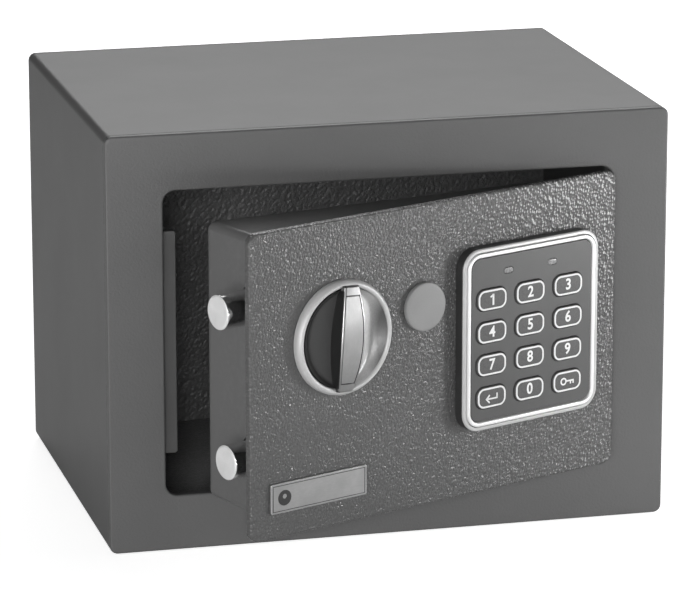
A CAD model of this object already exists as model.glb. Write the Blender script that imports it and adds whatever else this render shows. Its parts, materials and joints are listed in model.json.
"""Looks for the in-room safe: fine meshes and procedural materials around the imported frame.

Meshes are written in millimetres of the closed safe: x to the right, y the depth behind the
front face, z up. Each piece is then placed by the matrix of the cabinet or of the open door.
"""

import json
import math
import random

import bmesh
import bpy
from mathutils import Matrix, Vector


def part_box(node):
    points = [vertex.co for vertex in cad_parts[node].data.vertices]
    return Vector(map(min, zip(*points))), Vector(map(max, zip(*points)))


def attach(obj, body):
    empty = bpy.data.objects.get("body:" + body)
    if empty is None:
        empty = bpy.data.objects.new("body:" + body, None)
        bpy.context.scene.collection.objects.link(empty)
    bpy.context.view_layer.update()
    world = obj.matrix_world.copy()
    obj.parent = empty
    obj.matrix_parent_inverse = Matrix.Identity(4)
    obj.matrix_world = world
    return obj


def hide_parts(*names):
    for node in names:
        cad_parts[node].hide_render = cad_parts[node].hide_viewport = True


MM = 0.001

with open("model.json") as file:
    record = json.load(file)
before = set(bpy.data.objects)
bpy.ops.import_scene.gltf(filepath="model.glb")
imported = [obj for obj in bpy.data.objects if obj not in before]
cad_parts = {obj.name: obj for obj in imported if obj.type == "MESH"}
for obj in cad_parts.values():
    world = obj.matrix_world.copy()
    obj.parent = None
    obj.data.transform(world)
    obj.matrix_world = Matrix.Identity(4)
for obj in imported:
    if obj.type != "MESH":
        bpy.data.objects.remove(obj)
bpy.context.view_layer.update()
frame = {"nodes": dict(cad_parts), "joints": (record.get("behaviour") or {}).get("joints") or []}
scene = bpy.context.scene
nodes = frame["nodes"]
joints = {joint["name"]: joint for joint in frame["joints"]}

# Frames of reference: the cabinet, and the door swung to its rest angle
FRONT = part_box("front_frame")[0].y
CABINET = Matrix.Translation((0, FRONT, 0))
hinge = Vector(joints["door_hinge"]["pos_m"])
hinge.z = 0
swing = -math.radians(joints["door_hinge"]["range_deg"][0])
DOOR = Matrix.Translation(hinge) @ Matrix.Rotation(swing, 4, "Z") @ Matrix.Translation(-hinge) @ CABINET

# The back of the door pan, deep at the bolts and slanting towards the front at the hinges
PAN_BACK = 45.5
PAN_LEFT = -79.5
TAPER = math.radians(8.9)
fold = Matrix.Translation(Vector((PAN_LEFT, PAN_BACK, 0)) * MM)
BACK = DOOR @ fold @ Matrix.Rotation(-TAPER, 4, "Z") @ fold.inverted()


def extent(node, place=DOOR):
    """Lowest and highest corner of a CAD node in a frame of reference, in millimetres."""
    inverse = place.inverted()
    points = [inverse @ vert.co for vert in nodes[node].data.vertices]
    low = Vector([min(p[i] for p in points) for i in range(3)]) / MM
    high = Vector([max(p[i] for p in points) for i in range(3)]) / MM
    return low, high


def middle(node, place=DOOR):
    low, high = extent(node, place)
    return (low + high) / 2


def at(place, x, y, z):
    return place @ Matrix.Translation(Vector((x, y, z)) * MM)


# ---------------------------------------------------------------- shapes

def rounded_rect(width, height, radius, x=0.0, z=0.0, steps=10):
    """A function of the inset that gives the outline's points, counter-clockwise."""

    def outline(inset=0.0):
        r = max(radius - inset, 0.05)
        points = []
        for sx, sz, start in ((1, 1, 0), (-1, 1, 90), (-1, -1, 180), (1, -1, 270)):
            cx = x + sx * (width / 2 - inset - r)
            cz = z + sz * (height / 2 - inset - r)
            for i in range(steps + 1):
                angle = math.radians(start + 90 * i / steps)
                points.append((cx + r * math.cos(angle), cz + r * math.sin(angle)))
        return points

    return outline


def disc(radius, x=0.0, z=0.0, steps=72):
    def outline(inset=0.0):
        r = radius - inset
        angles = [2 * math.pi * i / steps for i in range(steps)]
        return [(x + r * math.cos(a), z + r * math.sin(a)) for a in angles]

    return outline


def softened(corners, closed=False, steps=5):
    """Rounds the corners (u, v, radius) of a profile and returns its (u, v) points."""
    points = []
    count = len(corners)
    for i, (u, v, radius) in enumerate(corners):
        here = Vector((u, v))
        if radius <= 0 or (not closed and i in (0, count - 1)):
            points.append((u, v))
            continue
        before = Vector(corners[i - 1][:2]) - here
        after = Vector(corners[(i + 1) % count][:2]) - here
        reach_a = min(radius, before.length * 0.48)
        reach_b = min(radius, after.length * 0.48)
        start = here + before.normalized() * reach_a
        end = here + after.normalized() * reach_b
        for k in range(steps + 1):
            t = k / steps
            point = start * (1 - t) ** 2 + here * (2 * t * (1 - t)) + end * t * t
            points.append((point.x, point.y))
    return points


def loft(rings, closed=False, caps=True):
    """Skins equal rings of 3-D points; a ring of one point is a pole."""
    bm = bmesh.new()
    loops = [[bm.verts.new(point) for point in ring] for ring in rings]
    pairs = list(zip(loops, loops[1:]))
    if closed:
        pairs.append((loops[-1], loops[0]))
    for a, b in pairs:
        count = max(len(a), len(b))
        for i in range(count):
            j = (i + 1) % count
            if len(a) == 1:
                bm.faces.new((a[0], b[j], b[i]))
            elif len(b) == 1:
                bm.faces.new((a[i], a[j], b[0]))
            else:
                bm.faces.new((a[i], a[j], b[j], b[i]))
    if caps and not closed:
        for loop in (loops[0], loops[-1]):
            if len(loop) > 2:
                bm.faces.new(loop)
    return bm


def lathe(profile, steps=96, closed=False):
    """Turns (radius, y) points about the Y axis."""
    rings = []
    for radius, y in profile:
        if radius <= 0:
            rings.append([(0, y, 0)])
            continue
        angles = [2 * math.pi * i / steps for i in range(steps)]
        rings.append([(radius * math.cos(a), y, radius * math.sin(a)) for a in angles])
    return loft(rings, closed)


def sweep(outline, profile, closed=True):
    """Sweeps (inset, y) points round an outline."""
    rings = [[(u, y, v) for u, v in outline(inset)] for inset, y in profile]
    return loft(rings, closed)


def edge_stations(front, back, edge, back_edge, steps=4):
    """(inset, y) points from a sheet's front face round its rounded edge to its back face."""
    stations = []
    for i in range(steps + 1):
        a = math.radians(90 * i / steps)
        stations.append((edge * (1 - math.sin(a)), front + edge * (1 - math.cos(a))))
    for i in range(steps + 1):
        a = math.radians(90 - 90 * i / steps)
        stations.append((back_edge * (1 - math.sin(a)), back - back_edge * (1 - math.cos(a))))
    return stations


def sheet(outline, front, back, holes=(), edge=0.6, back_edge=0.3):
    """A plate square to Y with holes, its edges rounded."""
    bm = bmesh.new()
    first, last = [], []
    for shape, sign in [(outline, 1)] + [(hole, -1) for hole in holes]:
        loops = []
        for inset, y in edge_stations(front, back, edge, back_edge):
            loops.append([bm.verts.new((u, y, v)) for u, v in shape(sign * inset)])
        for a, b in zip(loops, loops[1:]):
            for i in range(len(a)):
                j = (i + 1) % len(a)
                bm.faces.new((a[i], a[j], b[j], b[i]))
        first.append(loops[0])
        last.append(loops[-1])
    for loops in (first, last):
        edges = []
        for loop in loops:
            for i, vert in enumerate(loop):
                edges.append(bm.edges.get((vert, loop[(i + 1) % len(loop)])))
        bmesh.ops.triangle_fill(bm, use_beauty=True, edges=edges)
    return bm


def block(x, y, z, sx, sy, sz):
    """A plain box mesh, used to cut with."""
    bm = bmesh.new()
    bmesh.ops.create_cube(bm, size=1.0)
    bm.transform(Matrix.Translation((x, y, z)) @ Matrix.Diagonal((sx, sy, sz, 1)))
    return bm


def drill(radius, start, end, place, steps=32):
    """A round bar to cut with, from start to end along its Y axis, moved by a matrix."""
    bm = lathe([(0, start), (radius, start), (radius, end), (0, end)], steps)
    bm.transform(place)
    return bm


def dome(outline, foot, profile):
    """A closed button: an outline swept over (inset, y) points, from the foot to the last of them."""
    rings = [[(0, foot, 0)]]
    rings += [[(u, y, v) for u, v in outline(inset)] for inset, y in profile]
    rings.append([(0, profile[-1][1], 0)])
    return loft(rings)


def to_mesh(name, bm):
    bmesh.ops.recalc_face_normals(bm, faces=bm.faces[:])
    mesh = bpy.data.meshes.new(name)
    bm.to_mesh(mesh)
    bm.free()
    return mesh


def combined(bm, others, operation="DIFFERENCE"):
    """Cuts or joins closed meshes with Blender's exact solver and returns the result."""
    base = bpy.data.objects.new("base", to_mesh("base", bm))
    scene.collection.objects.link(base)
    tools = []
    for other in others:
        tool = bpy.data.objects.new("tool", to_mesh("tool", other))
        scene.collection.objects.link(tool)
        tools.append(tool)
        modifier = base.modifiers.new("boolean", "BOOLEAN")
        modifier.operation = operation
        modifier.solver = "EXACT"
        modifier.object = tool
    depsgraph = bpy.context.evaluated_depsgraph_get()
    result = bmesh.new()
    result.from_mesh(base.evaluated_get(depsgraph).to_mesh())
    for obj in [base, *tools]:
        bpy.data.objects.remove(obj)
    return result


def piece(name, bm, material, place, body, replaces=(), angle=35):
    """Makes a piece of a mesh in millimetres, rides it on its body and shades it."""
    bm.transform(Matrix.Scale(MM, 4))
    mesh = to_mesh(name, bm)
    mesh.materials.append(material)
    mesh.shade_smooth()
    mesh.set_sharp_from_angle(angle=math.radians(angle))
    obj = bpy.data.objects.new(name, mesh)
    scene.collection.objects.link(obj)
    obj.matrix_world = place
    modifier = obj.modifiers.new("normals", "WEIGHTED_NORMAL")
    modifier.keep_sharp = True
    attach(obj, body)
    if replaces:
        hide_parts(*replaces)
    return obj


# ---------------------------------------------------------------- materials

class Material:
    """A Principled material, with short calls for the nodes that feed it."""

    def __init__(self, name, metallic=0.0):
        self.data = bpy.data.materials.new(name)
        self.data.use_nodes = True
        self.tree = self.data.node_tree
        self.shader = self.tree.nodes["Principled BSDF"]
        self.shader.inputs["Metallic"].default_value = metallic
        self.coords = self.tree.nodes.new("ShaderNodeTexCoord").outputs["Object"]

    def feed(self, socket, value):
        if isinstance(value, bpy.types.NodeSocket):
            self.tree.links.new(value, socket)
        elif isinstance(value, tuple) and len(value) == 3 and socket.type == "RGBA":
            socket.default_value = (*value, 1)
        else:
            socket.default_value = value

    def set(self, name, value):
        self.feed(self.shader.inputs[name], value)

    def noise(self, size, detail=2.0, stretch=(1, 1, 1), turn=(0, 0, 0), shift=0.0):
        """Noise with features about size millimetres across, longer where stretch is above 1."""
        mapping = self.tree.nodes.new("ShaderNodeMapping")
        mapping.vector_type = "TEXTURE"
        mapping.inputs["Scale"].default_value = stretch
        mapping.inputs["Rotation"].default_value = [math.radians(a) for a in turn]
        mapping.inputs["Location"].default_value = (shift, shift, shift)
        self.tree.links.new(self.coords, mapping.inputs["Vector"])
        noise = self.tree.nodes.new("ShaderNodeTexNoise")
        noise.inputs["Scale"].default_value = 1 / (size * MM)
        noise.inputs["Detail"].default_value = detail
        self.tree.links.new(mapping.outputs["Vector"], noise.inputs["Vector"])
        return noise.outputs["Fac"]

    def cells(self, size, stretch=(1, 1, 1), turn=(0, 0, 0), smooth=0.6, shift=(0, 0, 0)):
        """Smooth rounded cells about size millimetres across, moved by shift millimetres."""
        mapping = self.tree.nodes.new("ShaderNodeMapping")
        mapping.vector_type = "TEXTURE"
        mapping.inputs["Scale"].default_value = stretch
        mapping.inputs["Rotation"].default_value = [math.radians(a) for a in turn]
        mapping.inputs["Location"].default_value = [a * MM for a in shift]
        self.tree.links.new(self.coords, mapping.inputs["Vector"])
        voronoi = self.tree.nodes.new("ShaderNodeTexVoronoi")
        voronoi.feature = "SMOOTH_F1"
        voronoi.inputs["Scale"].default_value = 1 / (size * MM)
        voronoi.inputs["Smoothness"].default_value = smooth
        self.tree.links.new(mapping.outputs["Vector"], voronoi.inputs["Vector"])
        return voronoi.outputs["Distance"]

    def spread(self, value, low, high, out_low, out_high):
        node = self.tree.nodes.new("ShaderNodeMapRange")
        for socket, number in zip(list(node.inputs)[1:5], (low, high, out_low, out_high)):
            socket.default_value = number
        self.feed(node.inputs[0], value)
        return node.outputs[0]

    def math(self, operation, a, b=0.0):
        node = self.tree.nodes.new("ShaderNodeMath")
        node.operation = operation
        self.feed(node.inputs[0], a)
        self.feed(node.inputs[1], b)
        return node.outputs[0]

    def mix(self, share, a, b):
        node = self.tree.nodes.new("ShaderNodeMix")
        node.data_type = "RGBA"
        self.feed(node.inputs["Factor"], share)
        self.feed(node.inputs["A"], a)
        self.feed(node.inputs["B"], b)
        return node.outputs["Result"]

    def worn_edges(self, low=0.52, high=0.6):
        """Where the surface is convex, up to 1 on sharp edges."""
        geometry = self.tree.nodes.new("ShaderNodeNewGeometry")
        return self.spread(geometry.outputs["Pointiness"], low, high, 0, 1)

    def axis(self, index):
        separate = self.tree.nodes.new("ShaderNodeSeparateXYZ")
        self.tree.links.new(self.coords, separate.inputs[0])
        return separate.outputs[index]

    def bump(self, height, distance):
        """Height 0 to 1 stands for distance millimetres."""
        node = self.tree.nodes.new("ShaderNodeBump")
        node.inputs["Strength"].default_value = 1.0
        self.feed(node.inputs["Distance"], self.math("MULTIPLY", distance, MM))
        self.feed(node.inputs["Height"], height)
        self.set("Normal", node.outputs["Normal"])


def tint(shade, warm=0.0):
    """A grey, or a warm grey."""
    return (shade * (1 + warm), shade, shade * (1 - warm))


def dyed(shade, hue):
    """A colour whose red, green and blue are shares of a shade."""
    return tuple(shade * share for share in hue)


def paint(name, shade, roughness, peel, size, hammered=0.0, wear=0.4, glints=False):
    """Powder coat: orange peel, slow drift in tone and gloss, a little wear on the edges."""
    m = Material(name)
    drift = m.noise(60, 2)
    soft = m.noise(size * 0.7, 1)
    fine = m.noise(size * 0.4, 1)
    height = m.math("ADD", m.math("MULTIPLY", soft, 0.8), m.math("MULTIPLY", fine, 0.3))
    tone = m.mix(m.spread(drift, 0.35, 0.65, 0, 1), tint(shade * 0.96), tint(shade * 1.04))
    if hammered:
        lumps = m.cells(size, stretch=(0.85, 1, 1.2), turn=(0, 35, 0), smooth=0.25)
        height = m.math("SUBTRACT", height, m.math("MULTIPLY", lumps, hammered))
        tone = m.mix(m.spread(lumps, 0.1, 0.45, 0.12 * hammered, 0), tone, tint(shade * 1.5))
        tone = m.mix(m.spread(lumps, 0.45, 0.8, 0, 0.18 * hammered), tone, tint(shade * 0.6))
    if glints:
        bright, dark = relief_masks(m, size)
        tone = m.mix(dark, m.mix(bright, tone, tint(0.62)), tint(shade * 0.3))
        peel = m.spread(m.axis(0), -60 * MM, 60 * MM, peel * 0.6, peel)
    spots = m.spread(m.noise(2.5, 3), 0.45, 0.65, 0, wear)
    m.set("Base Color", m.mix(m.math("MULTIPLY", m.worn_edges(0.54, 0.6), spots), tone, tint(shade * 2.4)))
    m.set("Roughness", m.spread(m.noise(30, 2), 0.3, 0.7, roughness - 0.015, roughness + 0.02))
    m.bump(height, peel)
    return m.data


def relief_masks(m, size):
    """Bright and dark flanks of the coat's bumps, stronger towards the top and the hinge side."""
    shape = {"stretch": (0.8, 1, 1.25), "turn": (0, 35, 0), "smooth": 0.25}
    flank = m.math("SUBTRACT", m.cells(size, shift=(0.29, 0, 0.25), **shape), m.cells(size, **shape))
    sideways = m.spread(m.axis(0), -75 * MM, 60 * MM, 0, 1)
    upwards = m.spread(m.axis(2), 50 * MM, 145 * MM, 0.6, 1)
    share = m.math("MULTIPLY", sideways, upwards)
    cut = m.spread(share, 0, 1, 0.34, 0.03)
    bright = m.spread(m.math("SUBTRACT", flank, cut), 0, 0.2, 0, 0.95)
    dark = m.math("MULTIPLY", m.spread(flank, -0.3, -0.06, 0.8, 0), share)
    return bright, dark


def plated(name, shade, roughness, along=(1, 1, 1), scratch=0.012, size=0.25, warm=0.0, metallic=1.0):
    """Metal with fine lines along one axis, faint stains and small scratches."""
    m = Material(name, metallic=metallic)
    lines = m.noise(size, 3, stretch=along)
    stains = m.noise(7, 4)
    tone = m.mix(m.spread(stains, 0.35, 0.7, 0, 1), tint(shade, warm), tint(shade * 0.86, warm * 1.6))
    tone = m.mix(m.spread(lines, 0.35, 0.65, 0, 0.25), tone, tint(shade * 0.72, warm))
    m.set("Base Color", tone)
    m.set("Roughness", m.spread(lines, 0.3, 0.7, roughness - 0.05, roughness + 0.08))
    m.bump(lines, scratch)
    return m.data


def satin_plastic(name, shade, roughness, metallic=0.0, size=0.35, depth=0.02, spots=0.12, hue=(1, 1, 1)):
    """Moulded plastic: fine spark-eroded grain, slight unevenness, brighter worn edges."""
    m = Material(name, metallic=metallic)
    grain = m.noise(size, 3)
    drift = m.noise(18, 3)
    tone = m.mix(m.spread(drift, 0.35, 0.65, 0, 1), dyed(shade * 0.95, hue), dyed(shade * 1.05, hue))
    tone = m.mix(m.spread(grain, 0.35, 0.7, 0, spots), tone, dyed(shade * 0.55, hue))
    wear = m.math("MULTIPLY", m.worn_edges(), m.spread(m.noise(3, 3), 0.45, 0.7, 0, 0.35))
    m.set("Base Color", m.mix(wear, tone, dyed(min(shade * 1.5, 0.9), hue)))
    m.set("Roughness", m.spread(grain, 0.3, 0.7, roughness - 0.05, roughness + 0.07))
    m.bump(grain, depth)
    return m.data


def felt_material():
    """Needle-punched felt: short crossing fibres of several greys."""
    m = Material("floor_felt")
    one = m.noise(0.5, 4, stretch=(1, 5, 1), turn=(0, 0, 25))
    two = m.noise(0.5, 4, stretch=(1, 5, 1), turn=(0, 0, -50), shift=0.4)
    fibres = m.math("MAXIMUM", one, two)
    clumps = m.noise(6, 3)
    tone = m.mix(m.spread(fibres, 0.5, 0.72, 0, 1), tint(0.015), tint(0.11))
    m.set("Base Color", m.mix(m.spread(clumps, 0.35, 0.65, 0, 0.4), tone, tint(0.02)))
    m.set("Roughness", 0.95)
    m.set("Sheen Weight", 0.3)
    m.set("Sheen Roughness", 0.6)
    m.bump(fibres, 0.5)
    return m.data


def ink_material():
    """Screen-printed white, slightly thin in places."""
    m = Material("key_print")
    thin = m.noise(0.5, 3)
    m.set("Base Color", m.mix(m.spread(thin, 0.4, 0.75, 0, 0.35), tint(0.8), tint(0.45)))
    m.set("Roughness", m.spread(thin, 0.3, 0.7, 0.4, 0.6))
    m.bump(thin, 0.01)
    return m.data


def lens_material():
    m = Material("led_lens")
    haze = m.noise(0.8, 3)
    m.set("Base Color", m.mix(m.spread(haze, 0.3, 0.7, 0, 1), tint(0.16), tint(0.24)))
    m.set("Roughness", m.spread(haze, 0.3, 0.7, 0.2, 0.35))
    m.set("Coat Weight", 0.5)
    m.bump(haze, 0.02)
    return m.data


def dish_material():
    """Satin dish of the knob, brushed so that it shines on the hinge side of the grip."""
    m = Material("satin_knob", metallic=0.5)
    grain = m.noise(0.25, 3, stretch=(1, 1, 6))
    near = m.spread(m.axis(0), 1 * MM, 5 * MM, 0, 1)
    gleam = m.math("MULTIPLY", near, m.spread(m.axis(0), 12 * MM, 17 * MM, 1, 0.15))
    tone = m.mix(gleam, tint(0.07), tint(0.66))
    m.set("Base Color", m.mix(m.spread(grain, 0.35, 0.7, 0, 0.2), tone, tint(0.05)))
    m.set("Roughness", m.spread(grain, 0.3, 0.7, 0.38, 0.5))
    m.bump(grain, 0.01)
    return m.data


def board_material():
    """Solder mask over copper tracks."""
    m = Material("circuit_board")
    tracks = m.noise(1.6, 0, stretch=(1, 1, 7))
    across = m.noise(1.6, 0, stretch=(7, 1, 1), shift=0.3)
    lines = m.math("MAXIMUM", m.spread(tracks, 0.52, 0.54, 0, 1), m.spread(across, 0.55, 0.57, 0, 1))
    m.set("Base Color", m.mix(lines, (0.01, 0.09, 0.035), (0.02, 0.16, 0.06)))
    m.set("Roughness", m.spread(m.noise(5, 2), 0.3, 0.7, 0.3, 0.42))
    m.bump(lines, 0.04)
    return m.data


def coil_material():
    """Copper wire windings seen through amber tape."""
    m = Material("coil_tape")
    wave = m.tree.nodes.new("ShaderNodeTexWave")
    wave.bands_direction = "Y"
    wave.inputs["Scale"].default_value = 900
    wave.inputs["Distortion"].default_value = 1.5
    m.tree.links.new(m.coords, wave.inputs["Vector"])
    winding = wave.outputs["Fac"]
    m.set("Base Color", m.mix(winding, (0.16, 0.045, 0.012), (0.5, 0.19, 0.06)))
    m.set("Roughness", m.spread(m.noise(2, 2), 0.3, 0.7, 0.25, 0.4))
    m.bump(winding, 0.08)
    return m.data


def cell_material():
    """A black shrink sleeve with a copper-coloured band at the positive end."""
    m = Material("cell_jacket")
    band_width = 13
    along = (BACK.to_3x3() @ Vector((1, 0, 0))).normalized()
    edge = along.dot(BACK @ Vector(((extent("battery_1", BACK)[1].x - band_width) * MM, 0, 0)))
    toward = m.tree.nodes.new("ShaderNodeVectorMath")
    toward.operation = "DOT_PRODUCT"
    toward.inputs[1].default_value = along
    m.tree.links.new(m.coords, toward.inputs[0])
    band = m.spread(toward.outputs["Value"], edge, edge + 0.4 * MM, 0, 1)
    wrinkle = m.noise(3, 3, stretch=(3, 1, 1))
    dark = m.mix(m.spread(wrinkle, 0.3, 0.7, 0, 1), tint(0.012), tint(0.025))
    m.set("Base Color", m.mix(band, dark, (0.55, 0.27, 0.1)))
    m.set("Roughness", m.spread(wrinkle, 0.3, 0.7, 0.22, 0.34))
    m.bump(wrinkle, 0.05)
    return m.data


PAINT = paint("powder_coat", 0.12, 0.45, 0.015, 2.0, wear=0.3)
FACE_PAINT = paint("front_powder_coat", 0.108, 0.42, 0.16, 1.5, wear=1.0)
DOOR_PAINT = paint("door_powder_coat", 0.1, 0.18, 0.5, 1.15, hammered=0.9, wear=0.5, glints=True)
PAN_PAINT = paint("pan_powder_coat", 0.125, 0.3, 0.006, 1.6, wear=0.15)
KEEPER_PAINT = paint("keeper_powder_coat", 0.075, 0.4, 0.02, 1.6)
INNER_PAINT = paint("inner_powder_coat", 0.17, 0.35, 0.7, 2.0, hammered=0.7)
ZINC = plated("zinc_plate", 0.62, 0.34, along=(1, 1, 8), warm=0.03)
NICKEL = plated("chrome_plate", 0.9, 0.13, scratch=0.004, size=0.4)
BOLT_FACE = plated("bolt_face", 0.85, 0.36, scratch=0.01, size=0.3, metallic=0.1)
RING = satin_plastic("satin_ring", 0.56, 0.42, metallic=0.2, depth=0.008)
KNOB = dish_material()
FLANK = satin_plastic("knob_flank", 0.06, 0.4, metallic=0.8, depth=0.01)
BLADE = plated("brushed_grip", 0.46, 0.34, along=(1, 1, 14), scratch=0.01, size=0.22)
RIM = satin_plastic("rim_grey", 0.52, 0.4, metallic=0.2, depth=0.01)
BEAD = satin_plastic("rim_bead", 0.86, 0.38, metallic=0.4, depth=0.006)
BADGE = plated("brushed_badge", 0.5, 0.42, along=(10, 1, 1), scratch=0.01, size=0.2)
MARK = satin_plastic("badge_mark", 0.035, 0.5, depth=0.01)
DARK = satin_plastic("dark_plastic", 0.028, 0.38)
PANEL = satin_plastic("keypad_grey", 0.075, 0.45, size=0.6, depth=0.008, spots=0.05)
KEYS = satin_plastic("key_grey", 0.085, 0.5, size=0.55, depth=0.09, spots=0.5)
RUBBER = satin_plastic("silicone", 0.06, 0.7, size=0.8)
CAP = satin_plastic("cap_plastic", 0.25, 0.5, depth=0.015)
RESET = satin_plastic("reset_red", 0.45, 0.35, hue=(1.0, 0.07, 0.05))
INK = ink_material()
LENS = lens_material()
FELT = felt_material()


# ---------------------------------------------------------------- cabinet

CABINET_BEND = 3.2
STEEL = 1.2
OPENING_WIDTH = 184.0
OPENING_HEIGHT = 124.6
OPENING_RADIUS = 5.0
OPENING_Z = 84.9
ANCHOR_X = 25.0
ANCHOR_Z = 85.0
ANCHOR_RADIUS = 5.0


def anchor_drills(radius, reach, depth, z, steps):
    """Upright cutters for the two anchor holes, reaching as far up as down from z."""
    upright = Matrix.Rotation(math.pi / 2, 4, "X")
    spots = [Matrix.Translation((side * ANCHOR_X, depth, z)) for side in (-1, 1)]
    return [drill(radius, -reach, reach, spot @ upright, steps) for spot in spots]


def box_outline(node, place, radius, steps=10):
    """A rounded outline of a CAD node's width and height."""
    low, high = extent(node, place)
    size = high - low
    mid = (low + high) / 2
    return rounded_rect(size.x, size.z, radius, mid.x, mid.z, steps)


def build_cabinet():
    low, high = extent("body_wrap", CABINET)
    outline = box_outline("body_wrap", CABINET, CABINET_BEND, 12)
    guard = 1.5  # loops this far from the ends keep the worn edges narrow
    front, back = low.y, high.y
    corners = [(0, front, 0.35), (0, front + guard, 0), (0, back - guard, 0), (0, back, 0.35)]
    corners += [(STEEL, back, 0.2), (STEEL, back - guard, 0)]
    corners += [(STEEL, front + guard, 0), (STEEL, front, 0.2)]
    wrap = sweep(outline, softened(corners, closed=True, steps=3))
    wrap = combined(wrap, anchor_drills(ANCHOR_RADIUS, 4, (front + back) / 2, 0, 48))
    piece("shell_wrap", wrap, PAINT, CABINET, "cabinet", ["body_wrap"])

    low, high = extent("front_frame", CABINET)
    opening = rounded_rect(OPENING_WIDTH, OPENING_HEIGHT, OPENING_RADIUS, 0, OPENING_Z)
    outline = box_outline("front_frame", CABINET, CABINET_BEND, 12)
    face = sheet(outline, low.y, high.y, [opening], edge=0.9, back_edge=0.25)
    piece("shell_front", face, FACE_PAINT, CABINET, "cabinet", ["front_frame"])

    low, high = extent("rear_panel", CABINET)
    holes = [disc(ANCHOR_RADIUS, side * ANCHOR_X, ANCHOR_Z, 48) for side in (-1, 1)]
    outline = box_outline("rear_panel", CABINET, CABINET_BEND, 12)
    rear = sheet(outline, low.y, high.y, holes, edge=0.25, back_edge=0.5)
    piece("shell_back", rear, INNER_PAINT, CABINET, "cabinet", ["rear_panel"])

    low, high = extent("bolt_keeper", CABINET)
    outline = box_outline("bolt_keeper", CABINET, 1.2, 4)
    strip = sheet(outline, low.y, high.y, edge=0.5, back_edge=0.5)
    piece("shell_keeper", strip, KEEPER_PAINT, CABINET, "cabinet", ["bolt_keeper"])


build_cabinet()


# ---------------------------------------------------------------- floor felt

def felt_height(x, y):
    """The mat's slow waves, in millimetres."""
    return 0.22 * math.sin(x * 0.061 + 1.3) * math.sin(y * 0.083) + 0.1 * math.sin(x * 0.19 + y * 0.13)


def build_felt():
    """A grid with slow waves and a fine random nap, lower at its cut edge, on a flat foot."""
    low, high = extent("floor_mat", CABINET)
    bm = bmesh.new()
    rng = random.Random(7)
    nx, ny = 150, 110
    top = []
    for j in range(ny + 1):
        row = []
        for i in range(nx + 1):
            x = low.x + (high.x - low.x) * i / nx
            y = low.y + (high.y - low.y) * j / ny
            rim = min(i, nx - i, j, ny - j)
            drop = 0.9 * math.exp(-rim * 1.3)
            z = high.z - 0.4 - drop + felt_height(x, y) + rng.uniform(-0.1, 0.1)
            row.append(bm.verts.new((x, y, min(z, high.z))))
        top.append(row)
    for j in range(ny):
        for i in range(nx):
            bm.faces.new((top[j][i], top[j][i + 1], top[j + 1][i + 1], top[j + 1][i]))
    rim_edges = [edge for edge in bm.edges if edge.is_boundary]
    skirt = bmesh.ops.extrude_edge_only(bm, edges=rim_edges)
    foot = [item for item in skirt["geom"] if isinstance(item, bmesh.types.BMVert)]
    for vert in foot:
        vert.co.z = low.z
    bmesh.ops.contextual_create(bm, geom=[e for e in bm.edges if e.is_boundary])
    bm = combined(bm, anchor_drills(ANCHOR_RADIUS + 0.2, 6, (low.y + high.y) / 2, 2, 32))
    piece("felt_mat", bm, FELT, CABINET, "cabinet", ["floor_mat"], angle=60)


build_felt()


# ---------------------------------------------------------------- door

KNOB_HOLE = 20.6
LOCK_HOLE = 8.3
CABLE_HOLE = 4.0
BOLT_HOLE = 8.3
SCREW_HOLE = 2.2
RESET_HOLE = 3.4
COVER_SCREWS = ("cover_screw_left", "cover_screw_right")


def build_door_face():
    low, high = extent("door_panel")
    knob = middle("knob_cup")
    lock = middle("lock_cap")
    pad = middle("keypad_rim")
    holes = [disc(KNOB_HOLE, knob.x, knob.z)]
    holes.append(disc(LOCK_HOLE, lock.x, lock.z, 48))
    holes.append(disc(CABLE_HOLE, pad.x, pad.z, 32))
    panel = sheet(box_outline("door_panel", DOOR, 4.0), low.y, high.y, holes, edge=0.9)
    piece("door_face", panel, DOOR_PAINT, DOOR, "door", ["door_panel"])


def build_door_pan():
    """A folded box with a lip round its open back, sheared to the slant of the back."""
    low = extent("door_pan")[0]
    lip = 12.0
    bend = 3.4
    inner_back = PAN_BACK - STEEL
    corners = [(0, low.y, 0), (0, PAN_BACK, bend), (lip, PAN_BACK, 0.3), (lip, inner_back, 0.3)]
    corners += [(STEEL, inner_back, bend - STEEL), (STEEL, low.y, 0)]
    profile = softened(corners, closed=True, steps=8)
    pan = sweep(box_outline("door_pan", DOOR, bend), profile)
    for vert in pan.verts:
        if vert.co.y > low.y + 1:
            vert.co.y -= math.tan(TAPER) * (vert.co.x - PAN_LEFT)
    drills = []
    turn = Matrix.Rotation(-math.pi / 2, 4, "Z")
    for node in ("bolt_upper", "bolt_lower"):
        bolt = middle(node)
        place = Matrix.Translation((low.x, bolt.y, bolt.z)) @ turn
        drills.append(drill(BOLT_HOLE, -6, 6, place, 64))
    for node in COVER_SCREWS:
        drills.append(drill(SCREW_HOLE, -6, 4, Matrix.Translation(middle(node))))
    pan = combined(pan, drills)
    piece("door_box", pan, PAN_PAINT, DOOR, "door", ["door_pan"])


def build_door_cover():
    low, high = extent("door_back_cover", BACK)
    hatch = extent("battery_door", BACK)
    hatch_mid = (hatch[0] + hatch[1]) / 2
    hatch_size = hatch[1] - hatch[0]
    gap = 0.8
    reset = middle("reset_button", BACK)
    holes = [rounded_rect(hatch_size.x + gap, hatch_size.z + gap, 2.0, hatch_mid.x, hatch_mid.z, 4)]
    holes.append(disc(RESET_HOLE, reset.x, reset.z, 32))
    for node in COVER_SCREWS:
        screw = middle(node, BACK)
        holes.append(disc(SCREW_HOLE, screw.x, screw.z, 24))
    outline = box_outline("door_back_cover", BACK, 3.0, 6)
    cover = sheet(outline, low.y, high.y, holes, edge=0.2, back_edge=0.4)
    piece("door_rear_cover", cover, INNER_PAINT, BACK, "door", ["door_back_cover"])


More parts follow.
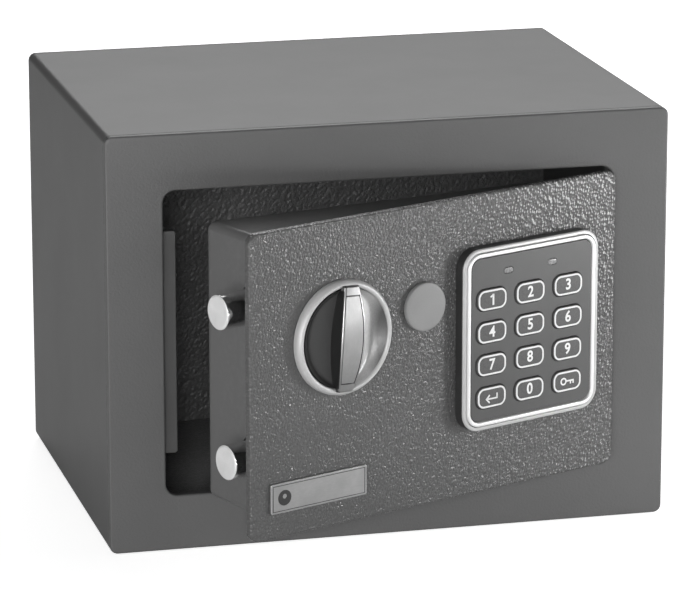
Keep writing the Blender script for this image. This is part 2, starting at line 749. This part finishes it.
def build_screws():
    """Pan-head screws with a cross recess."""
    for node in COVER_SCREWS:
        low, high = extent(node, BACK)
        mid = (low + high) / 2
        neck = high.y - 1.6
        profile = [(0, low.y, 0), (1.8, low.y, 0.2), (1.8, neck, 0), (3.6, neck, 0.3)]
        profile += [(3.5, high.y - 0.4, 0.9), (0, high.y, 0)]
        screw = lathe(softened(profile, steps=4), 48)
        slots = [block(0, high.y - 0.3, 0, 4.0, 1.6, 0.8), block(0, high.y - 0.3, 0, 0.8, 1.6, 4.0)]
        screw = combined(screw, slots)
        place = at(BACK, mid.x, 0, mid.z)
        piece(node.replace("cover_", ""), screw, ZINC, place, "door", [node])


build_door_face()
build_door_pan()
build_door_cover()
build_screws()


# ---------------------------------------------------------------- knob

TILT = 4.2  # degrees the knob stands away from upright at rest
DISH_R = 19.6
GRIP_L = 20.9  # half the length of the grip
INLAY_L = 17.05  # half the length of its inlay


def dish_depth(x, z, ring_y):
    """Depth of the dish, a bowl with a hump that carries the grip."""
    reach = (x * x + z * z) / DISH_R**2
    bowl = 6.5 * (1 - reach**2)
    hump = 1.2 + 0.013 * x * x
    blend = 0.8  # rounds the crease where the hump meets the bowl
    h = max(blend - abs(bowl - hump), 0) / blend
    return ring_y + min(bowl, hump) - h * h * blend / 4


def grip_half(t):
    """Half the grip's width, widest in the middle; t runs from -1 to 1 along the grip."""
    return 5.7 - 2.3 * t * t


def grip_top(t, ring_y):
    """Depth of the grip's crest, which stands out most in the middle."""
    return ring_y - 4.5 + 3.1 * t * t


def build_ring(low, high, place):
    """The fixed ring, with the cup behind it that the knob turns in."""
    ring_y = low.y
    outer = (high.x - low.x) / 2
    corners = [(20.3, -0.3, 0), (20.3, 6.1, 0.4), (6.0, 6.1, 0.4), (6.0, high.y, 0.3), (4.3, high.y, 0.2)]
    corners += [(4.3, 4.9, 0.2), (DISH_R + 0.3, 4.9, 0.3), (DISH_R + 0.3, ring_y + 0.9, 0.9)]
    corners += [(DISH_R + 1.0, ring_y, 0.5), (outer - 1.1, ring_y, 0.9), (outer, ring_y + 1.5, 0.9)]
    corners += [(outer, -0.3, 0)]
    cup = lathe(softened(corners, closed=True), 144, closed=True)
    piece("knob_ring", cup, RING, place, "door", ["knob_cup"])


def dish_mesh(ring_y):
    """The round dish, in rings from its back to the middle of its face."""
    back = 4.6
    steps = 144
    bands = 36
    rings = [[(0, back, 0)]]
    rings.append([(x, back, z) for x, z in disc(DISH_R - 0.3, steps=steps)()])
    rings.append([(x, back - 0.3, z) for x, z in disc(DISH_R, steps=steps)()])
    for i in range(bands):
        circle = disc(DISH_R * (1 - (i / bands) ** 1.3), steps=steps)()
        rings.append([(x, dish_depth(x, z, ring_y + 0.3), z) for x, z in circle])
    rings.append([(0, dish_depth(0, 0, ring_y + 0.3), 0)])
    return loft(rings)


def grip_mesh(ring_y):
    """The grip across the dish; its ends lap the ring and are rounded off."""
    sections = 64
    inside = DISH_R - 0.45
    stations = [(2 * i / sections - 1) * (GRIP_L - 0.5) for i in range(sections + 1)]
    stations += [-inside, -inside - 0.02, inside, inside + 0.02]
    rings = []
    for z in [-GRIP_L, *sorted(stations), GRIP_L]:
        t = z / GRIP_L
        half = grip_half(t)
        top = grip_top(t, ring_y)
        if abs(z) == GRIP_L:
            half -= 0.4
            top += 0.4
        foot = 2.0 if abs(z) <= inside else ring_y - 0.3
        side = [(-half - 0.7, foot, 0), (-half, top + 0.4, 0.35), (-half + 0.5, top, 0.35)]
        side.append((0, top - 0.12, 0))
        right = [(-x, y, r) for x, y, r in reversed(side[:-1])]
        profile = softened(side + right, steps=4)
        rings.append([(x, y, z) for x, y in profile])
    grip = loft(rings)
    bmesh.ops.recalc_face_normals(grip, faces=grip.faces[:])
    return grip


def build_knob():
    low, high = extent("knob_cup")
    hub = (low + high) / 2
    place = at(DOOR, hub.x, 0, hub.z)
    turned = place @ Matrix.Rotation(math.radians(TILT), 4, "Y")
    ring_y = low.y
    build_ring(low, high, place)
    dial = combined(dish_mesh(ring_y), [grip_mesh(ring_y)], "UNION")
    groove = lens_prism(ring_y, grow=0.5, below=0.6, above=1.0)
    dial = combined(dial, [groove])
    dish_piece = piece("knob_dish", dial, KNOB, turned, "knob", ["knob_dial"], angle=30)
    dish_piece.data.materials.append(FLANK)
    dish_piece.data.materials.append(BLADE)

    # The grip's sides are dark flanks and its crest is the brushed blade
    for face in dish_piece.data.polygons:
        x, y, z = face.center / MM
        if abs(face.normal.x) > 0.8 and abs(x) < 7:
            face.material_index = 1
        elif face.normal.y < -0.5 and abs(x) < 6.5 and y < grip_top(z / GRIP_L, ring_y) + 0.4:
            face.material_index = 2
    inlay = lens_prism(ring_y, grow=0.0, below=0.5, above=0.1)
    piece("knob_insert", inlay, BLADE, turned, "knob", ["knob_inlay"], angle=30)


def lens_prism(ring_y, grow, below, above):
    """A long half-lens that follows the grip's crest, from below to above its surface."""
    sections = 48
    half_l = INLAY_L + grow
    rings = []
    for i in range(sections + 1):
        t = (2 * i / sections - 1) * half_l / GRIP_L
        right = grip_half(t) - 1.45 + grow
        left = 0.85 - grip_half(t) - grow * 0.3
        top = grip_top(t, ring_y)
        front = top - above
        back = top + below
        z = t * GRIP_L
        rings.append([(left, back, z), (left, front, z), (right, front, z), (right, back, z)])
    bm = loft(rings)
    bmesh.ops.recalc_face_normals(bm, faces=bm.faces[:])
    return bm


build_knob()


# ---------------------------------------------------------------- bolts, lock cap

def build_bolts():
    """Round bolts with a bright end face and a thinner tail."""
    for end in ("upper", "lower"):
        node = f"bolt_{end}"
        low, high = extent(node)
        mid = (low + high) / 2
        length = high.x - low.x
        radius = (high.z - low.z) / 2
        corners = [(0, 0, 0), (radius - 0.55, 0, 0.35), (radius, 0.55, 0.3)]
        corners += [(radius, length - 6.3, 0.3), (6.4, length - 5.5, 0.2), (3.0, length - 5.5, 0)]
        corners += [(3.0, length, 0.2), (0, length, 0)]
        bolt = lathe(softened(corners, steps=4), 96)
        place = at(DOOR, low.x, mid.y, mid.z) @ Matrix.Rotation(-math.pi / 2, 4, "Z")
        obj = piece(f"lock_bolt_{end}", bolt, NICKEL, place, "bolt_work", [node])
        obj.data.materials.append(BOLT_FACE)
        for face in obj.data.polygons:
            if face.center.y < 0.4 * MM:
                face.material_index = 1


build_bolts()


def build_cap():
    low, high = extent("lock_cap")
    mid = (low + high) / 2
    radius = (high.x - low.x) / 2
    crown = [(radius * 0.92 * k / 8, low.y + 0.25 * (k / 8) ** 2) for k in range(8)]
    rim = [(radius * 0.9, low.y + 0.25, 0), (radius, low.y + 0.5, 0.8), (radius, high.y, 0.15)]
    rim += [(radius - 0.6, high.y, 0), (0, high.y, 0)]
    cap = lathe(crown + softened(rim, steps=6), 96)
    place = at(DOOR, mid.x, 0, mid.z)
    piece("emergency_disc", cap, CAP, place, "emergency_cap", ["lock_cap"])


build_cap()


# ---------------------------------------------------------------- keypad

KEY_NODES = [f"key_{n}" for n in ("1", "2", "3", "4", "5", "6", "7", "8", "9", "enter", "0", "unlock")]
LED_NODES = ("led_left", "led_right")
KEY_RADIUS = 3.4


def build_case():
    """The dark housing and its silver rim: a ledge, a narrow groove and a bright bead."""
    low, high = extent("keypad_rim")
    mid = (low + high) / 2
    width, height = high.x - low.x, high.z - low.z
    side_low, side_high = extent("keypad_housing")
    outline = rounded_rect(width, height, 8.0, mid.x, mid.z, 14)
    corners = [(0.0, side_high.y, 0), (0.0, side_low.y, 0.3), (2.6, side_low.y, 0), (2.6, side_high.y, 0)]
    housing = sweep(outline, softened(corners, closed=True, steps=3))
    piece("keypad_case", housing, DARK, DOOR, "door", ["keypad_housing"])

    y = low.y
    ledge = [(0.0, high.y, 0), (0.0, y + 1.0, 0.5), (0.45, y + 0.65, 0.3), (1.5, y + 0.6, 0.1)]
    ledge += [(1.5, high.y, 0)]
    rim = sweep(outline, softened(ledge, closed=True, steps=4))
    piece("keypad_ledge", rim, RIM, DOOR, "door", ["keypad_rim"])
    bead = [(1.8, high.y, 0), (1.8, y + 0.4, 0.4), (2.1, y, 0.35), (3.2, y, 0.35)]
    bead += [(3.6, y + 0.5, 0.4), (3.6, high.y, 0)]
    bead = sweep(outline, softened(bead, closed=True, steps=4))
    piece("keypad_bead", bead, BEAD, DOOR, "door", ())


def key_size():
    low, high = extent("key_1")
    return high.x - low.x, high.z - low.z


def build_panel():
    low, high = extent("keypad_panel")
    key_w, key_h = key_size()
    gap = 0.6  # both sides of a key together
    holes = []
    for node in KEY_NODES:
        centre = middle(node)
        holes.append(rounded_rect(key_w + gap, key_h + gap, KEY_RADIUS + gap / 2, centre.x, centre.z, 8))
    gap = 0.16
    for node in LED_NODES:
        a, b = extent(node)
        centre = (a + b) / 2
        holes.append(rounded_rect(b.x - a.x + gap, b.z - a.z + gap, 1.25, centre.x, centre.z, 6))
    outline = box_outline("keypad_panel", DOOR, 4.4)
    panel = sheet(outline, low.y, high.y, holes, edge=0.15, back_edge=0.1)
    piece("keypad_face", panel, PANEL, DOOR, "door", ["keypad_panel"])


def build_keys():
    shape = rounded_rect(*key_size(), KEY_RADIUS, steps=8)
    for node in KEY_NODES:
        low, high = extent(node)
        centre = (low + high) / 2
        place = at(DOOR, centre.x, 0, centre.z)
        profile = softened([(0, high.y, 0), (0, low.y + 0.1, 0.5), (1.4, low.y, 0)], steps=4)
        body = node.replace("key_", "button_")
        piece(f"{node}_cap", dome(shape, high.y, profile), KEYS, place, body, [node])
        build_print(node, shape, low.y, place, body)


def build_lenses():
    for node in LED_NODES:
        low, high = extent(node)
        centre = (low + high) / 2
        shape = rounded_rect(high.x - low.x, high.z - low.z, (high.z - low.z) / 2 - 0.02, steps=8)
        profile = softened([(0, high.y, 0), (0, low.y, 0.4), (0.9, low.y, 0)], steps=4)
        place = at(DOOR, centre.x, 0, centre.z)
        piece(f"{node}_lens", dome(shape, high.y, profile), LENS, place, "door", [node])


def stroke(points, width, y_low, y_high, closed=False):
    """A flat raised line of constant width through (x, z) points."""
    count = len(points)
    sides = []
    for i, (x, z) in enumerate(points):
        before = points[i - 1] if closed or i else points[i]
        after = points[(i + 1) % count] if closed or i < count - 1 else points[i]
        along = Vector((after[0] - before[0], after[1] - before[1])).normalized()
        across = Vector((-along.y, along.x)) * width / 2
        sides.append(((x + across.x, z + across.y), (x - across.x, z - across.y)))
    rings = []
    for (x1, z1), (x2, z2) in sides:
        rings.append([(x1, y_high, z1), (x1, y_low, z1), (x2, y_low, z2), (x2, y_high, z2)])
    return loft(rings, closed=closed)


def digit_mesh(text, size, squeeze, y):
    """The shape of one digit, bold and condensed, standing square to Y."""
    curve = bpy.data.curves.new("digit", "FONT")
    curve.body = text
    curve.size = size
    curve.align_x = "CENTER"
    curve.align_y = "CENTER"
    curve.extrude = 0.04
    curve.offset = 0.14
    curve.resolution_u = 6
    obj = bpy.data.objects.new("digit", curve)
    scene.collection.objects.link(obj)
    depsgraph = bpy.context.evaluated_depsgraph_get()
    bm = bmesh.new()
    bm.from_mesh(obj.evaluated_get(depsgraph).to_mesh())
    bpy.data.objects.remove(obj)
    bmesh.ops.remove_doubles(bm, verts=bm.verts[:], dist=0.002)
    upright = Matrix.Rotation(math.pi / 2, 4, "X") @ Matrix.Diagonal((squeeze, 1, 1, 1))
    bm.transform(Matrix.Translation((0, y, 0)) @ upright)
    return bm


def merged(parts):
    """One mesh holding several separate raised marks."""
    whole = bmesh.new()
    for part in parts:
        mesh = to_mesh("part", part)
        whole.from_mesh(mesh)
        bpy.data.meshes.remove(mesh)
    return whole


def build_print(name, shape, face_y, place, body):
    """The white outline and its sign, printed on a key."""
    low = face_y - 0.1
    high = face_y + 0.12
    line = 0.62
    ring = []
    for inset, y in ((0.35, high), (0.35, low), (1.05, low), (1.05, high)):
        ring.append([(u, y, v) for u, v in shape(inset)])
    parts = [loft(ring, closed=True)]
    label = name.split("_")[1]
    if label == "enter":
        parts.append(stroke([(2.6, 1.4), (2.6, -0.6)], line, low, high))
        parts.append(stroke([(2.91, -0.6), (-2.4, -0.6)], line, low, high))
        parts.append(stroke([(-1.1, 1.0), (-2.9, -0.75)], line, low, high))
        parts.append(stroke([(-2.9, -0.45), (-1.1, -2.2)], line, low, high))
    elif label == "unlock":
        bow = disc(1.25, -1.9, 0, 32)()
        parts.append(stroke(bow, line, low, high, closed=True))
        parts.append(stroke([(-0.4, 0.0), (3.4, 0.0)], line, low, high))
        parts.append(stroke([(1.7, -0.2), (1.7, -1.35)], 0.6, low, high))
        parts.append(stroke([(3.1, -0.2), (3.1, -1.35)], 0.6, low, high))
    elif label == "1":
        parts.append(stroke([(0.35, -2.25), (0.35, 2.25)], 0.85, low, high))
        parts.append(stroke([(-1.05, 1.05), (0.5, 2.0)], 0.7, low, high))
    else:
        parts.append(digit_mesh(label, size=6.2, squeeze=0.97, y=face_y))
    piece(f"{name}_print", merged(parts), INK, place, body, (), angle=50)


build_case()
build_panel()
build_keys()
build_lenses()


# ---------------------------------------------------------------- badge

def build_badge():
    """A blank plate with a raised border and a small pierced disc."""
    low, high = extent("badge_plate")
    mid = (low + high) / 2
    w, h = high.x - low.x, high.z - low.z
    place = at(DOOR, mid.x, 0, mid.z)
    outline = rounded_rect(w, h, 0.7, steps=6)
    plate = sheet(outline, low.y, high.y, edge=0.3, back_edge=0.1)
    piece("badge_blank", plate, BADGE, place, "door", ["badge_plate"])
    y_low = low.y - 0.08
    y_high = low.y + 0.1
    parts = [sweep(outline, [(0.9, y_high), (0.9, y_low), (1.15, y_low), (1.15, y_high)])]
    dot_x = -16.5
    hole = disc(0.95, dot_x, 0.6, 24)
    dot = sheet(disc(3.1, dot_x, 0, 48), y_low, y_high, [hole], edge=0.03, back_edge=0.02)
    parts.append(dot)
    piece("badge_mark", merged(parts), MARK, place, "door", (), angle=50)


build_badge()


# ---------------------------------------------------------------- CAD nodes that stay

def dress(node, material):
    """Gives a CAD node that keeps its own mesh a single material."""
    nodes[node].data.materials.clear()
    nodes[node].data.materials.append(material)


PLATED = ("hinge_arm", "hinge_pin", "guide_stud", "solenoid_frame", "solenoid_plunger")
PLATED += ("lock_cylinder", "lock_cam", "knob_spindle", "drive_crank", "bolt_carriage")
for node in nodes:
    if node.startswith(PLATED):
        dress(node, ZINC)
    elif node.startswith("hinge_bracket"):
        dress(node, INNER_PAINT)
    elif node in ("battery_tray", "battery_door"):
        dress(node, DARK)
dress("lock_plug", NICKEL)
dress("key_mat", RUBBER)
dress("keypad_board", board_material())
dress("solenoid_coil", coil_material())
dress("reset_button", RESET)
cells = cell_material()
for number in range(1, 5):
    dress(f"battery_{number}", cells)


# ---------------------------------------------------------------- camera, floor, light

def build_camera():
    data = bpy.data.cameras.new("camera")
    data.lens = 218.88
    data.sensor_width = 36.0
    camera = bpy.data.objects.new("camera", data)
    camera.location = (-0.41664, -1.67072, 0.53184)
    camera.rotation_euler = (math.radians(75.235), 0, math.radians(-14.156))
    scene.collection.objects.link(camera)
    scene.camera = camera


FLOOR_BOUNCE = 0.9  # diffuse light the floor gives back; the camera and shiny parts see it pale
FLOOR_GLOW = 0.75  # lifts the floor for the camera, as a lit backdrop would


def build_floor():
    """A wide floor that the camera sees as plain white."""
    bm = bmesh.new()
    bmesh.ops.create_grid(bm, x_segments=1, y_segments=1, size=30)
    mesh = bpy.data.meshes.new("floor")
    bm.to_mesh(mesh)
    bm.free()
    m = Material("studio_floor")
    path = m.tree.nodes.new("ShaderNodeLightPath")
    seen = m.math("MAXIMUM", path.outputs["Is Camera Ray"], path.outputs["Is Glossy Ray"])
    pale = m.mix(m.noise(400, 2), tint(0.9), tint(0.93))
    m.set("Base Color", m.mix(seen, tint(FLOOR_BOUNCE), pale))
    m.set("Emission Color", (1.0, 1.0, 1.0))
    m.set("Emission Strength", m.math("MULTIPLY", path.outputs["Is Camera Ray"], FLOOR_GLOW))
    m.set("Roughness", 0.9)
    mesh.materials.append(m.data)
    floor = bpy.data.objects.new("floor", mesh)
    floor.location.z = -0.0005
    scene.collection.objects.link(floor)


def area_light(name, location, target, width, height, power):
    """A rectangular lamp in metres and watts, facing its target."""
    data = bpy.data.lights.new(name, "AREA")
    data.shape = "RECTANGLE"
    data.size = width
    data.size_y = height
    data.energy = power
    light = bpy.data.objects.new(name, data)
    light.location = location
    light.rotation_euler = (Vector(target) - Vector(location)).to_track_quat("-Z", "Y").to_euler()
    scene.collection.objects.link(light)


def build_world():
    """A studio that is bright behind and above the object, and dim on the camera's side."""
    world = bpy.data.worlds.new("studio")
    world.use_nodes = True
    tree = world.node_tree
    coords = tree.nodes.new("ShaderNodeTexCoord")
    toward = tree.nodes.new("ShaderNodeVectorMath")
    toward.operation = "DOT_PRODUCT"
    toward.inputs[1].default_value = Vector((0.35, 0.8, 0.45)).normalized()
    tree.links.new(coords.outputs["Generated"], toward.inputs[0])
    spread = tree.nodes.new("ShaderNodeMapRange")
    spread.inputs["From Min"].default_value = -0.5
    spread.inputs["From Max"].default_value = 0.8
    spread.inputs["To Min"].default_value = 0.02
    spread.inputs["To Max"].default_value = 0.06
    tree.links.new(toward.outputs["Value"], spread.inputs["Value"])
    background = tree.nodes["Background"]
    background.inputs["Color"].default_value = (1, 1, 1, 1)
    tree.links.new(spread.outputs["Result"], background.inputs["Strength"])
    scene.world = world


build_camera()
build_floor()
build_world()
area_light("back_softbox", (0.55, 1.25, 1.1), (0, 0, 0.1), 1.6, 0.8, 15)
area_light("low_left", (-0.75, -1.2, 0.09), (0, -0.05, 0.05), 0.6, 0.16, 4.3)
area_light("left_softbox", (-1.2, -0.75, 0.4), (0, -0.05, 0.08), 0.8, 0.6, 3)
area_light("camera_fill", (-0.5, -1.6, 0.48), (-0.05, 0, 0.08), 0.3, 0.24, 9.2)
area_light("low_front", (0.1, -0.9, 0.04), (0.02, -0.1, 0.02), 0.6, 0.06, 0.55)
area_light("right_card", (0.95, -0.35, 0.22), (0, -0.12, 0.1), 0.7, 0.5, 2.4)
area_light("side_spark", (0.34, -0.23, 0.1), (0.03, -0.1, 0.12), 0.05, 0.05, 0.4)
scene.view_settings.view_transform = "Standard"
